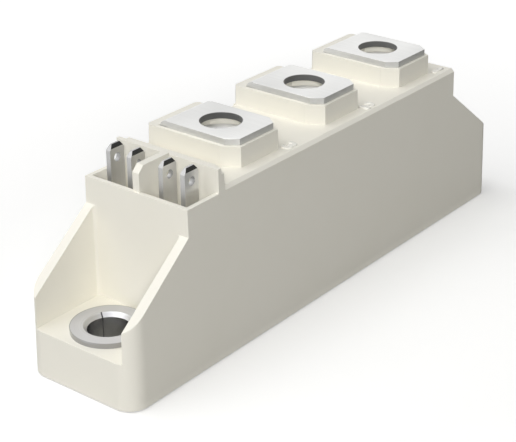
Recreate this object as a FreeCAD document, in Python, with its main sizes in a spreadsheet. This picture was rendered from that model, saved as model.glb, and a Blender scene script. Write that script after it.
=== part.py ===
import FreeCAD, Part
import os

import PartDesign
import Sketcher

# A two-chip power semiconductor module with three screw terminals in a row on its back,
# four gate tabs in a tray at one end and a mounting lug at each end.
# The origin is the middle of the base, +X runs along the module away from the gate tabs,
# +Y runs across it, and +Z is up. All lengths are millimetres and all angles degrees.

# Driving sizes of the moulded housing
HOUSING_SIZES = {
    "overall_length": 93.0,
    "overall_width": 20.0,
    "corner_radius": 3.0,
    "wall_draft": 1.15,
    "base_proud": 0.15,
    "lug_length": 12.9,
    "lug_floor_height": 7.3,
    "lug_corner_fillet": 0.5,
    "wing_thickness": 1.9,
    "wing_low_height": 11.6,
    "wing_high_height": 21.7,
    "deck_height": 26.4,
    "deck_chamfer": 0.5,
    "rim_height": 25.8,
    "rim_wall": 0.7,
    "tray_length": 6.6,
    "tray_floor_height": 21.5,
    "tray_floor_thickness": 1.5,
    "back_wall_thickness": 1.3,
    "back_wall_height": 29.4,
    "back_wall_bevel": 1.4,
    "back_wall_bevel_drop": 1.0,
    "divider_thickness": 1.2,
    "divider_height": 29.6,
    "divider_setback": 0.3,
    "divider_bevel": 1.0,
    "side_wall": 1.5,
    "end_wall": 1.5,
    "roof_thickness": 2.0,
    "skirt_wall": 1.0,
    "boss_height": 29.5,
    "boss_length": 11.4,
    "boss_reach": 7.15,
    "boss_corner_along": 1.45,
    "boss_corner_across": 2.7,
    "boss_back_corner": 0.5,
    "well_diameter": 12.2,
    "well_depth": 5.0,
    "well_floor": 1.5,
    "screw_clearance_hole": 6.0,
}

# Driving sizes of the terminals, their nuts and the mounting bushes
HARDWARE_SIZES = {
    "terminal_pitch": 20.0,
    "middle_terminal": 5.0,
    "plate_length": 10.2,
    "plate_reach": 6.6,
    "plate_thickness": 1.0,
    "plate_corner_along": 1.3,
    "plate_corner_across": 1.7,
    "plate_hole": 6.3,
    "leg_width": 9.8,
    "leg_face": 6.6,
    "bend_radius": 0.5,
    "foot_reach": 3.0,
    "nut_across_flats": 8.0,
    "nut_thickness": 4.0,
    "nut_bore": 4.3,
    "nut_bore_chamfer": 0.5,
    "nut_corner_chamfer": 0.35,
    "nut_drop": 1.15,
    "mounting_pitch": 80.0,
    "mounting_bore": 6.2,
    "bush_mouth": 7.2,
    "bush_mouth_depth": 0.6,
    "bush_flange": 11.0,
    "bush_flange_thickness": 0.75,
    "bush_tube": 8.2,
    "bush_slit": 0.2,
    "bush_slit_turn": 61.0,
    "fit_gap": 0.1,
}

# Driving sizes of the gate tabs and of what is sealed inside
INNER_SIZES = {
    "tab_width": 2.8,
    "tab_thickness": 0.8,
    "tab_height": 30.3,
    "tab_setback": 3.6,
    "tab_inner_row": 2.9,
    "tab_outer_row": 6.85,
    "tab_corner": 0.6,
    "tab_corner_height": 0.85,
    "tab_bevel": 0.25,
    "tab_bevel_height": 0.6,
    "tab_hole": 1.3,
    "tab_hole_height": 28.2,
    "tab_shank_width": 1.6,
    "tab_tail": 15.5,
    "lead_diameter": 0.8,
    "base_plate_thickness": 3.0,
    "substrate_length": 63.0,
    "substrate_width": 15.8,
    "ceramic_thickness": 0.63,
    "copper_thickness": 0.3,
    "copper_margin": 0.4,
    "track_gap": 1.4,
    "gate_pad_width": 1.4,
    "gate_pad_length": 2.3,
    "gate_track_end": 28.4,
    "first_track_end": 8.0,
    "second_track_end": 10.6,
    "thyristor_place": 21.5,
    "thyristor_side": 9.5,
    "thyristor_thickness": 0.4,
    "diode_place": 18.6,
    "diode_side": 8.5,
    "diode_thickness": 0.3,
    "chip_offset": 1.5,
    "disc_thickness": 0.6,
    "disc_margin": 1.2,
    "link_width": 5.0,
    "link_thickness": 0.6,
    "link_arch": 1.6,
    "link_slope": 1.2,
    "link_foot": 2.4,
    "bond_wire": 0.4,
    "bond_wire_thickness": 0.2,
    "bond_span": 3.7,
    "bond_edge": 0.4,
}

SHEET_NAME = "sizes"
Z_AXIS = FreeCAD.Vector(0, 0, 1)
NEAR = 0.001
HALF_TURN = 180

# Places worked out from the driving sizes
END_WALL = "(sizes.overall_length / 2 - sizes.lug_length)"
TRAY_BACK = f"({END_WALL} - sizes.tray_length)"
BACK_WALL_REAR = f"({TRAY_BACK} - sizes.back_wall_thickness)"
DECK_HALF_WIDTH = ("(sizes.overall_width / 2"
                   " - (sizes.deck_height - sizes.base_proud) * tan(sizes.wall_draft))")
WING_INNER = "(sizes.overall_width / 2 - sizes.wing_thickness)"
WING_SLOPE = "((sizes.wing_high_height - sizes.wing_low_height) / sizes.lug_length)"
ROOF = "(sizes.deck_height - sizes.roof_thickness)"
TRAY_ROOF = "(sizes.tray_floor_height - sizes.tray_floor_thickness)"
NUT_TOP = "(sizes.boss_height - sizes.nut_drop)"
NUT_SEAT = f"({NUT_TOP} - sizes.nut_thickness)"
WELL_BOTTOM = f"({NUT_SEAT} - sizes.well_depth - sizes.well_floor)"
FIRST_TERMINAL = "(sizes.middle_terminal - sizes.terminal_pitch)"
TAB_PLACE = f"({END_WALL} - sizes.tab_setback)"
CERAMIC_FOOT = "(sizes.base_plate_thickness + sizes.copper_thickness)"
CERAMIC_TOP = f"({CERAMIC_FOOT} + sizes.ceramic_thickness)"
TRACK_TOP = f"({CERAMIC_TOP} + sizes.copper_thickness)"
TRACK_HALF_LENGTH = "(sizes.substrate_length / 2 - sizes.copper_margin)"
TRACK_HALF_WIDTH = "(sizes.substrate_width / 2 - sizes.copper_margin)"


def fill_sheet(document):
    """Write each driving size into a cell of its own."""
    sheet = document.addObject("Spreadsheet::Sheet", SHEET_NAME)
    row = 0
    for group in (HOUSING_SIZES, HARDWARE_SIZES, INNER_SIZES):
        for name, value in group.items():
            row += 1
            sheet.set(f"A{row}", name)
            sheet.set(f"B{row}", str(value))
            sheet.setAlias(f"B{row}", name)
    document.recompute()
    return sheet


def value_of(body, expression):
    """The present value of an expression in the driving sizes."""
    result = body.evalExpression(expression)
    return float(getattr(result, "Value", result))


def new_body(document, label, place=("0", "0", "0")):
    """A sub-part with its own name and a place bound to the driving sizes."""
    body = document.addObject("PartDesign::Body", label)
    body.Label = label
    for axis, expression in zip("xyz", place):
        body.setExpression(f"Placement.Base.{axis}", expression)
    document.recompute()
    return body


def new_sketch(body, name, role, offset):
    """A sketch on one of the body's own origin planes, moved along that plane's normal."""
    plane = [item for item in body.Origin.OriginFeatures if item.Role == role][0]
    sketch = body.newObject("Sketcher::SketchObject", name)
    sketch.AttachmentSupport = (plane, [""])
    sketch.MapMode = "FlatFace"
    sketch.setExpression("AttachmentOffset.Base.z", offset)
    return sketch


def pin_point(sketch, geometry, end, spot):
    """Tie one end of a line or a centre to a place given by two expressions."""
    for kind, expression in zip(("DistanceX", "DistanceY"), spot):
        value = value_of(sketch, expression)
        index = sketch.addConstraint(Sketcher.Constraint(kind, -1, 1, geometry, end, value))
        sketch.setExpression(f"Constraints[{index}]", expression)


def add_outline(sketch, corners):
    """A closed outline of straight edges through corners given by expressions."""
    places = [FreeCAD.Vector(value_of(sketch, x), value_of(sketch, y), 0) for x, y in corners]
    first = sketch.GeometryCount
    count = len(places)
    for step in range(count):
        sketch.addGeometry(Part.LineSegment(places[step], places[(step + 1) % count]), False)
    for step in range(count):
        follower = first + (step + 1) % count
        sketch.addConstraint(Sketcher.Constraint("Coincident", first + step, 2, follower, 1))
        pin_point(sketch, first + step, 1, corners[step])


def outline_sketch(body, name, role, *outlines, offset="0"):
    """A sketch with one or more closed outlines."""
    sketch = new_sketch(body, name, role, offset)
    for corners in outlines:
        add_outline(sketch, corners)
    body.Document.recompute()
    return sketch


def circle_sketch(body, name, centres, diameter, role="XY_Plane", offset="0"):
    """A sketch with one circle of the same diameter at each centre."""
    sketch = new_sketch(body, name, role, offset)
    for centre in centres:
        place = FreeCAD.Vector(value_of(sketch, centre[0]), value_of(sketch, centre[1]), 0)
        radius = value_of(sketch, diameter) / 2
        index = sketch.addGeometry(Part.Circle(place, Z_AXIS, radius), False)
        pin_point(sketch, index, 3, centre)
        size = sketch.addConstraint(Sketcher.Constraint("Diameter", index, 2 * radius))
        sketch.setExpression(f"Constraints[{size}]", diameter)
    body.Document.recompute()
    return sketch


def rectangle(left, right, front, back):
    """The four corners of a rectangle."""
    return [(left, front), (right, front), (right, back), (left, back)]


def block(length, width):
    """A rectangle about the origin."""
    return rectangle(f"-{length} / 2", f"{length} / 2", f"-{width} / 2", f"{width} / 2")


def tapered_octagon(left, right, front, back, along, across, back_corner):
    """A rectangle with large front corners and small back corners cut off."""
    return [
        (f"{left} + {along}", front),
        (f"{right} - {along}", front),
        (right, f"{front} + {across}"),
        (right, f"{back} - {back_corner}"),
        (f"{right} - {back_corner}", back),
        (f"{left} + {back_corner}", back),
        (left, f"{back} - {back_corner}"),
        (left, f"{front} + {across}"),
    ]


def pad(body, sketch, name, length, taper=None, midplane=False):
    """Raise a sketch along its normal."""
    feature = body.newObject("PartDesign::Pad", name)
    feature.Profile = sketch
    feature.setExpression("Length", length)
    feature.Midplane = midplane
    if taper:
        feature.setExpression("TaperAngle", taper)
    body.Document.recompute()
    return feature


def check_cut(body, before):
    """A cut has to take something away."""
    if body.Shape.Volume > before - NEAR:
        raise ValueError(f"{body.Label}: {body.Tip.Name} cuts nothing")


def pocket(body, sketch, name, length=None, upward=False, midplane=False):
    """Cut a sketch out of the body, right through where no length is given."""
    before = body.Shape.Volume
    feature = body.newObject("PartDesign::Pocket", name)
    feature.Profile = sketch
    feature.Reversed = upward
    feature.Midplane = midplane
    if length:
        feature.setExpression("Length", length)
    else:
        feature.Type = "ThroughAll"
    body.Document.recompute()
    check_cut(body, before)
    return feature


def revolve(body, sketch, name, angle=None):
    """Turn a sketch about the body's own upright axis."""
    feature = body.newObject("PartDesign::Revolution", name)
    feature.Profile = sketch
    feature.ReferenceAxis = (sketch, ["V_Axis"])
    if angle:
        feature.Angle = angle
    body.Document.recompute()
    return feature


def groove(body, sketch, name):
    """Turn a cut about the body's own upright axis."""
    before = body.Shape.Volume
    feature = body.newObject("PartDesign::Groove", name)
    feature.Profile = sketch
    feature.ReferenceAxis = (sketch, ["V_Axis"])
    body.Document.recompute()
    check_cut(body, before)
    return feature


def repeat_terminals(body, features, name):
    """Repeat features of the first terminal at the other two."""
    x_axis = [item for item in body.Origin.OriginFeatures if item.Role == "X_Axis"][0]
    pattern = body.newObject("PartDesign::LinearPattern", name)
    pattern.Originals = features
    pattern.Direction = (x_axis, [""])
    pattern.Occurrences = 3
    pattern.setExpression("Length", "2 * sizes.terminal_pitch")
    body.Tip = pattern
    body.Document.recompute()
    return pattern


def dress(body, kind, name, size_property, size, chosen):
    """Round or bevel the edges that a test picks from the present shape."""
    edges = [f"Edge{number}" for number, edge in enumerate(body.Shape.Edges, 1) if chosen(edge)]
    if not edges:
        raise ValueError(f"{body.Label}: {name} finds no edge")
    base = body.Tip
    feature = body.newObject(kind, name)
    feature.Base = (base, edges)
    feature.setExpression(size_property, size)
    body.Document.recompute()
    return feature


def ends_of(edge):
    """The two ends of an edge."""
    return edge.Vertexes[0].Point, edge.Vertexes[-1].Point


def upright(edge):
    """Whether an edge rises more than it runs sideways, as on a drafted corner."""
    low, high = ends_of(edge)
    step = high - low
    return len(edge.Vertexes) == 2 and abs(step.z) > abs(step.x) + abs(step.y)


def fillet_corners(body, name, radius, reach):
    """Round the upright edges that stand at least so far out along the body."""
    limit = value_of(body, reach) - 2 * NEAR
    return dress(body, "PartDesign::Fillet", name, "Radius", radius,
                 lambda edge: upright(edge) and abs(edge.CenterOfMass.x) > limit)


def make_housing(document):
    """The moulded case with its lugs, tray, bosses, nut traps and inner cavity."""
    body = new_body(document, "housing")
    raise_block(body)
    cut_ends(body)
    raise_bosses(body)
    add_gate_tray(body)
    cut_lug_pockets(body)
    bevel_deck(body)
    hollow_inside(body)
    add_nut_wells(body)
    cut_tab_slots(body)
    return body


def raise_block(body):
    """The drafted block that everything else is cut from, up to the deck."""
    footprint = block("sizes.overall_length", "sizes.overall_width")
    sketch = outline_sketch(body, "footprint", "XY_Plane", footprint, offset="sizes.base_proud")
    pad(body, sketch, "block", "sizes.deck_height - sizes.base_proud", taper="-sizes.wall_draft")
    fillet_corners(body, "lug_corners", "sizes.corner_radius", "sizes.overall_length / 3")


def cut_ends(body):
    """Cut both ends to the sloping tops of the wings, the end walls and the tray's rim."""
    far = "sizes.overall_length"
    above = "(2 * sizes.deck_height)"
    low = f"(sizes.wing_high_height - {WING_SLOPE} * (sizes.overall_length - {END_WALL}))"
    gate_end = [
        (f"-{far}", above),
        (f"-{far}", low),
        (f"-{END_WALL}", "sizes.wing_high_height"),
        (f"-{END_WALL}", "sizes.rim_height"),
        (f"-{TRAY_BACK}", "sizes.rim_height"),
        (f"-{TRAY_BACK}", above),
    ]
    far_end = [
        (far, above),
        (END_WALL, above),
        (END_WALL, "sizes.wing_high_height"),
        (far, low),
    ]
    sketch = outline_sketch(body, "side_view", "XZ_Plane", gate_end, far_end)
    pocket(body, sketch, "end_cuts", midplane=True)


def raise_bosses(body):
    """Three bosses whose backs run flush into the drafted side of the case."""
    outline = tapered_octagon(
        f"({FIRST_TERMINAL} - sizes.boss_length / 2)",
        f"({FIRST_TERMINAL} + sizes.boss_length / 2)",
        "-sizes.boss_reach",
        DECK_HALF_WIDTH,
        "sizes.boss_corner_along",
        "sizes.boss_corner_across",
        "sizes.boss_back_corner",
    )
    sketch = outline_sketch(body, "boss_outline", "XY_Plane", outline, offset="sizes.deck_height")
    height = "sizes.boss_height - sizes.deck_height"
    boss = pad(body, sketch, "boss", height, taper="-sizes.wall_draft")
    repeat_terminals(body, [boss], "boss_row")


def add_gate_tray(body):
    """The open tray at the gate end, with a high back wall and a divider."""
    wall = rectangle(f"-{TRAY_BACK} - sizes.rim_wall", f"-{BACK_WALL_REAR}",
                     f"-{DECK_HALF_WIDTH}", DECK_HALF_WIDTH)
    sketch = outline_sketch(body, "back_wall_plan", "XY_Plane", wall, offset="sizes.deck_height")
    height = "sizes.back_wall_height - sizes.deck_height"
    pad(body, sketch, "back_wall", height, taper="-sizes.wall_draft")
    bevel_back_wall(body)
    front = f"{DECK_HALF_WIDTH} - sizes.rim_wall"
    inside = rectangle(f"-{END_WALL} + sizes.rim_wall", f"-{TRAY_BACK}", f"-({front})", front)
    sketch = outline_sketch(body, "tray_plan", "XY_Plane", inside,
                            offset="sizes.tray_floor_height")
    pocket(body, sketch, "tray", upward=True)
    trim = rectangle(f"-{END_WALL} - sizes.rim_wall", f"-{TRAY_BACK}",
                     "-sizes.overall_width", "sizes.overall_width")
    sketch = outline_sketch(body, "rim_plan", "XY_Plane", trim, offset="sizes.rim_height")
    pocket(body, sketch, "rim", upward=True)
    add_divider(body)


def bevel_back_wall(body):
    """Cut the two upper corners behind the back wall off at a slant."""
    inner = f"({DECK_HALF_WIDTH} - sizes.back_wall_bevel)"
    low = "(sizes.back_wall_height - sizes.back_wall_bevel_drop)"
    above = "(sizes.back_wall_height + sizes.back_wall_bevel_drop)"
    beyond = "sizes.overall_width"
    outlines = []
    for side in ("", "-"):
        outlines.append([
            (f"{side}{inner}", "sizes.back_wall_height"),
            (f"{side}{DECK_HALF_WIDTH}", low),
            (f"{side}{beyond}", low),
            (f"{side}{beyond}", above),
            (f"{side}{inner}", above),
        ])
    sketch = outline_sketch(body, "back_wall_bevels", "YZ_Plane", *outlines,
                            offset=f"-{BACK_WALL_REAR}")
    pocket(body, sketch, "back_wall_corners", "sizes.back_wall_thickness / 2")


def add_divider(body):
    """The wall that parts the tray in two, with its front corner cut off."""
    front = f"-{END_WALL} + sizes.divider_setback"
    outline = [
        (front, "sizes.tray_floor_height"),
        (f"-{TRAY_BACK}", "sizes.tray_floor_height"),
        (f"-{TRAY_BACK}", "sizes.divider_height"),
        (f"{front} + sizes.divider_bevel", "sizes.divider_height"),
        (front, "sizes.divider_height - sizes.divider_bevel"),
    ]
    sketch = outline_sketch(body, "divider_side", "XZ_Plane", outline)
    pad(body, sketch, "divider", "sizes.divider_thickness", midplane=True)


def cut_lug_pockets(body):
    """Hollow both lugs down to the floor that the mounting screws press on."""
    gate_end = rectangle("-sizes.overall_length", f"-{END_WALL}", f"-{WING_INNER}", WING_INNER)
    far_end = rectangle(END_WALL, "sizes.overall_length", f"-{WING_INNER}", WING_INNER)
    sketch = outline_sketch(body, "lug_pockets_plan", "XY_Plane", gate_end, far_end,
                            offset="sizes.lug_floor_height")
    pocket(body, sketch, "lug_pockets", upward=True)
    wall = value_of(body, END_WALL)
    side = value_of(body, WING_INNER)

    def inner_corner(edge):
        place = edge.CenterOfMass
        at_wall = abs(abs(place.x) - wall) < NEAR
        return upright(edge) and at_wall and abs(abs(place.y) - side) < NEAR

    dress(body, "PartDesign::Fillet", "lug_inner_corners", "Radius",
          "sizes.lug_corner_fillet", inner_corner)
    centres = [("-sizes.mounting_pitch / 2", "0"), ("sizes.mounting_pitch / 2", "0")]
    sketch = circle_sketch(body, "bush_seats", centres, "sizes.bush_tube + 2 * sizes.fit_gap")
    pocket(body, sketch, "bush_holes", upward=True)


def bevel_deck(body):
    """Bevel the long edges of the deck, between the bosses where they interrupt it."""
    spans = [("-", f"-{BACK_WALL_REAR}", END_WALL)]
    start = f"-{BACK_WALL_REAR}"
    for place in terminal_places():
        spans.append(("", start, f"({place} - sizes.boss_length / 2)"))
        start = f"({place} + sizes.boss_length / 2)"
    spans.append(("", start, END_WALL))
    reach = "sizes.deck_chamfer"
    for number, (side, start, end) in enumerate(spans, 1):
        corner = [
            (f"{side}({DECK_HALF_WIDTH} - {reach})", "sizes.deck_height"),
            (f"{side}({DECK_HALF_WIDTH} + {reach})", "sizes.deck_height"),
            (f"{side}({DECK_HALF_WIDTH} + {reach})", f"sizes.deck_height - 2 * {reach}"),
        ]
        sketch = outline_sketch(body, f"deck_edge_{number}", "YZ_Plane", corner,
                                offset=f"({start} + {end}) / 2")
        pocket(body, sketch, f"deck_bevel_{number}", f"{end} - {start}", midplane=True)


def hollow_inside(body):
    """The cavity over the chips, lower under the tray, and the recess for the base plate."""
    inner_end = f"({END_WALL} - sizes.end_wall)"
    step = f"-{BACK_WALL_REAR} + sizes.end_wall"
    profile = [
        (f"-{inner_end}", "0"),
        (inner_end, "0"),
        (inner_end, ROOF),
        (step, ROOF),
        (step, TRAY_ROOF),
        (f"-{inner_end}", TRAY_ROOF),
    ]
    sketch = outline_sketch(body, "cavity_side", "XZ_Plane", profile)
    pocket(body, sketch, "cavity", f"2 * ({DECK_HALF_WIDTH} - sizes.side_wall)", midplane=True)
    length = "(sizes.overall_length - 2 * sizes.skirt_wall)"
    width = "(sizes.overall_width - 2 * sizes.skirt_wall)"
    sketch = outline_sketch(body, "recess_plan", "XY_Plane", block(length, width),
                            offset="sizes.base_plate_thickness")
    pocket(body, sketch, "base_recess")
    reach = value_of(body, f"{length} / 2")
    top = value_of(body, "sizes.base_plate_thickness")

    def recess_corner(edge):
        place = edge.CenterOfMass
        return upright(edge) and abs(abs(place.x) - reach) < NEAR and place.z < top

    dress(body, "PartDesign::Fillet", "recess_corners", "Radius",
          "sizes.corner_radius - sizes.skirt_wall", recess_corner)


def hexagon(across_flats, centre_x):
    """A hexagon with two corners along X."""
    corner = f"({across_flats} / sqrt(3))"
    flat = f"({across_flats} / 2)"
    return [
        (f"{centre_x} + {corner}", "0"),
        (f"{centre_x} + {corner} / 2", flat),
        (f"{centre_x} - {corner} / 2", flat),
        (f"{centre_x} - {corner}", "0"),
        (f"{centre_x} - {corner} / 2", f"-{flat}"),
        (f"{centre_x} + {corner} / 2", f"-{flat}"),
    ]


def add_nut_wells(body):
    """Under each boss a round well with a nut trap, a blind screw hole and a strap slot."""
    centre = [(FIRST_TERMINAL, "0")]
    sketch = circle_sketch(body, "well_plan", centre, "sizes.well_diameter", offset=WELL_BOTTOM)
    well = pad(body, sketch, "well", f"{ROOF} + sizes.roof_thickness / 2 - {WELL_BOTTOM}")
    repeat_terminals(body, [well], "well_row")
    trap_outline = hexagon("(sizes.nut_across_flats + 2 * sizes.fit_gap)", FIRST_TERMINAL)
    sketch = outline_sketch(body, "nut_trap_plan", "XY_Plane", trap_outline, offset=NUT_SEAT)
    trap = pocket(body, sketch, "nut_trap", upward=True)
    sketch = circle_sketch(body, "screw_hole_plan", centre, "sizes.screw_clearance_hole",
                           offset=NUT_SEAT)
    screw_hole = pocket(body, sketch, "screw_hole", "sizes.well_depth")
    slot = cut_strap_slot(body)
    repeat_terminals(body, [trap, screw_hole, slot], "trap_row")


def cut_strap_slot(body):
    """The slot that a terminal's leg goes down through, wider at its mouth for the bend."""
    inner = "(sizes.leg_face - sizes.fit_gap)"
    outer = "(sizes.leg_face + sizes.plate_thickness + sizes.fit_gap)"
    mouth = "(sizes.bend_radius + sizes.fit_gap)"
    above = "(sizes.boss_height + sizes.plate_thickness)"
    profile = [
        (inner, f"{ROOF} - sizes.roof_thickness"),
        (outer, f"{ROOF} - sizes.roof_thickness"),
        (outer, above),
        (f"{inner} - {mouth}", above),
        (f"{inner} - {mouth}", "sizes.boss_height"),
        (inner, f"sizes.boss_height - {mouth}"),
    ]
    sketch = outline_sketch(body, "slot_side", "YZ_Plane", profile, offset=FIRST_TERMINAL)
    width = "sizes.leg_width + 2 * sizes.fit_gap"
    return pocket(body, sketch, "strap_slot", width, midplane=True)


def cut_tab_slots(body):
    """Four slots through the tray's floor for the shanks of the gate tabs."""
    half_width = "(sizes.tab_shank_width / 2 + sizes.fit_gap)"
    half_thickness = "(sizes.tab_thickness / 2 + sizes.fit_gap)"
    outlines = []
    for row in gate_rows():
        outlines.append(rectangle(
            f"-{TAB_PLACE} - {half_width}",
            f"-{TAB_PLACE} + {half_width}",
            f"{row} - {half_thickness}",
            f"{row} + {half_thickness}",
        ))
    sketch = outline_sketch(body, "tab_slots_plan", "XY_Plane", *outlines,
                            offset="sizes.tray_floor_height")
    pocket(body, sketch, "tab_slots", "2 * sizes.tray_floor_thickness")


def gate_rows():
    """Where the four gate tabs stand across the module, from the -Y side on."""
    return ["-sizes.tab_outer_row", "-sizes.tab_inner_row",
            "sizes.tab_inner_row", "sizes.tab_outer_row"]


def terminal_places():
    """Where the three terminals stand along the module, from the gate end on."""
    return [FIRST_TERMINAL, "sizes.middle_terminal",
            "(sizes.middle_terminal + sizes.terminal_pitch)"]


def make_base_plate(document):
    """The plated copper plate that carries the heat into the heatsink."""
    body = new_body(document, "base_plate")
    margin = "2 * (sizes.skirt_wall + sizes.fit_gap)"
    outline = block(f"(sizes.overall_length - {margin})", f"(sizes.overall_width - {margin})")
    sketch = outline_sketch(body, "plate_plan", "XY_Plane", outline)
    pad(body, sketch, "plate", "sizes.base_plate_thickness")
    fillet_corners(body, "plate_corners",
                   "sizes.corner_radius - sizes.skirt_wall - sizes.fit_gap",
                   "sizes.overall_length / 3")
    centres = [("-sizes.mounting_pitch / 2", "0"), ("sizes.mounting_pitch / 2", "0")]
    sketch = circle_sketch(body, "mounting_holes_plan", centres, "sizes.mounting_bore")
    pocket(body, sketch, "mounting_holes", upward=True)
    return body


def make_bush(document, label, side):
    """A bush with a flange, that takes a mounting screw's pressure to the base plate."""
    body = new_body(document, label, (f"{side}sizes.mounting_pitch / 2", "0", "0"))
    flange_foot = "sizes.lug_floor_height"
    flange_top = f"({flange_foot} + sizes.bush_flange_thickness)"
    outline = [
        ("sizes.mounting_bore / 2", "sizes.base_plate_thickness"),
        ("sizes.bush_tube / 2", "sizes.base_plate_thickness"),
        ("sizes.bush_tube / 2", flange_foot),
        ("sizes.bush_flange / 2", flange_foot),
        ("sizes.bush_flange / 2", flange_top),
        ("sizes.bush_mouth / 2", flange_top),
        ("sizes.mounting_bore / 2", f"{flange_top} - sizes.bush_mouth_depth"),
    ]
    sketch = outline_sketch(body, f"{label}_section", "XZ_Plane", outline)
    revolve(body, sketch, f"{label}_rolled")
    cut_bush_slit(body, label)
    return body


def cut_bush_slit(body, label):
    """The open seam of the rolled strip, down the bore and through the mouth's bevel."""
    along = "cos(sizes.bush_slit_turn)"
    across = "sin(sizes.bush_slit_turn)"
    reach = "(sizes.bush_mouth / 2 + sizes.fit_gap)"
    half = "(sizes.bush_slit / 2)"
    outline = [
        (f"{half} * {across}", f"-{half} * {along}"),
        (f"{reach} * {along} + {half} * {across}", f"{reach} * {across} - {half} * {along}"),
        (f"{reach} * {along} - {half} * {across}", f"{reach} * {across} + {half} * {along}"),
        (f"-{half} * {across}", f"{half} * {along}"),
    ]
    sketch = outline_sketch(body, f"{label}_slit_plan", "XY_Plane", outline)
    pocket(body, sketch, f"{label}_slit", upward=True)


def make_terminal(document, label, place):
    """A strap that rises from its track, passes the boss and is folded over the nut."""
    body = new_body(document, label, (place, "0", "0"))
    outer = "(sizes.leg_face + sizes.plate_thickness)"
    top = "(sizes.boss_height + sizes.plate_thickness)"
    foot_top = f"({TRACK_TOP} + sizes.plate_thickness)"
    profile = [
        ("-sizes.plate_reach", "sizes.boss_height"),
        ("sizes.leg_face", "sizes.boss_height"),
        ("sizes.leg_face", foot_top),
        ("sizes.leg_face - sizes.foot_reach", foot_top),
        ("sizes.leg_face - sizes.foot_reach", TRACK_TOP),
        (outer, TRACK_TOP),
        (outer, top),
        ("-sizes.plate_reach", top),
    ]
    sketch = outline_sketch(body, f"{label}_side", "YZ_Plane", profile)
    pad(body, sketch, f"{label}_strap", "sizes.plate_length", midplane=True)
    narrow_leg(body, label, outer)
    cut_plate_corners(body, label)
    sketch = circle_sketch(body, f"{label}_hole_plan", [("0", "0")], "sizes.plate_hole",
                           offset="sizes.boss_height")
    pocket(body, sketch, f"{label}_hole", upward=True)
    round_bends(body, label)
    return body


def narrow_leg(body, label, outer):
    """Cut the strap narrower from just inside its bend down to the foot."""
    half = "(sizes.leg_width / 2)"
    beyond = "sizes.plate_length"
    inner = "(sizes.leg_face - sizes.bend_radius - sizes.fit_gap)"
    outlines = []
    for side in ("", "-"):
        outlines.append([
            (f"{side}{half}", inner),
            (f"{side}{half}", f"{outer} + sizes.fit_gap"),
            (f"{side}{beyond}", f"{outer} + sizes.fit_gap"),
            (f"{side}{beyond}", inner),
        ])
    sketch = outline_sketch(body, f"{label}_leg_plan", "XY_Plane", *outlines)
    pocket(body, sketch, f"{label}_leg_sides", upward=True)
    low = rectangle(half, beyond, "0", inner)
    mirrored = rectangle(f"-{beyond}", f"-{half}", "0", inner)
    sketch = outline_sketch(body, f"{label}_foot_plan", "XY_Plane", low, mirrored)
    pocket(body, sketch, f"{label}_foot_sides", "sizes.boss_height / 2", upward=True)


def cut_plate_corners(body, label):
    """Cut the two free corners of the contact plate off."""
    half = "(sizes.plate_length / 2)"
    outlines = []
    for side in ("", "-"):
        outlines.append([
            (f"{side}({half} - sizes.plate_corner_along)", "-sizes.plate_reach"),
            (f"{side}{half}", "-sizes.plate_reach + sizes.plate_corner_across"),
            (f"{side}2 * {half}", "-sizes.plate_reach + sizes.plate_corner_across"),
            (f"{side}2 * {half}", "-2 * sizes.plate_reach"),
            (f"{side}({half} - sizes.plate_corner_along)", "-2 * sizes.plate_reach"),
        ])
    sketch = outline_sketch(body, f"{label}_corner_plan", "XY_Plane", *outlines)
    pocket(body, sketch, f"{label}_corners", upward=True)


def round_bends(body, label):
    """Round the strap inside and outside its two bends."""
    spots = bend_spots(body)
    for name, radius, spot in spots:
        dress(body, "PartDesign::Fillet", f"{label}_{name}", "Radius", radius,
              lambda edge, spot=spot: along_x_at(edge, spot))


def bend_spots(body):
    """Each bend edge of a strap with its radius and its place across the strap."""
    inner = "sizes.bend_radius"
    outer = "sizes.bend_radius + sizes.plate_thickness"
    face = value_of(body, "sizes.leg_face")
    back = value_of(body, "sizes.leg_face + sizes.plate_thickness")
    return [
        ("top_inside", inner, (face, value_of(body, "sizes.boss_height"))),
        ("top_outside", outer, (back, value_of(body, "sizes.boss_height + sizes.plate_thickness"))),
        ("foot_inside", inner, (face, value_of(body, f"{TRACK_TOP} + sizes.plate_thickness"))),
        ("foot_outside", outer, (back, value_of(body, TRACK_TOP))),
    ]


def along_x_at(edge, spot):
    """Whether an edge runs along the module at a given place across and up."""
    low, high = ends_of(edge)
    level = abs(low.y - high.y) < NEAR and abs(low.z - high.z) < NEAR
    return level and abs(low.y - spot[0]) < NEAR and abs(low.z - spot[1]) < NEAR


def make_nut(document, label, place):
    """A hexagon nut lying loose in its trap under the contact plate."""
    body = new_body(document, label, (place, "0", NUT_SEAT))
    outline = hexagon("sizes.nut_across_flats", "0")
    sketch = outline_sketch(body, f"{label}_hexagon", "XY_Plane", outline)
    pad(body, sketch, f"{label}_blank", "sizes.nut_thickness")
    sketch = circle_sketch(body, f"{label}_bore_plan", [("0", "0")], "sizes.nut_bore")
    pocket(body, sketch, f"{label}_bore", upward=True)
    dress(body, "PartDesign::Chamfer", f"{label}_mouths", "Size", "sizes.nut_bore_chamfer",
          lambda edge: len(edge.Vertexes) == 1)
    corner = "(sizes.nut_across_flats / sqrt(3))"
    flat = "(sizes.nut_across_flats / 2)"
    drop = "sizes.nut_corner_chamfer"
    ends = [
        [(flat, "0"), (f"{corner} + {drop}", "0"), (f"{corner} + {drop}", drop)],
        [
            (flat, "sizes.nut_thickness"),
            (f"{corner} + {drop}", "sizes.nut_thickness"),
            (f"{corner} + {drop}", f"sizes.nut_thickness - {drop}"),
        ],
    ]
    sketch = outline_sketch(body, f"{label}_corner_section", "XZ_Plane", *ends)
    groove(body, sketch, f"{label}_corners")
    return body


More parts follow.
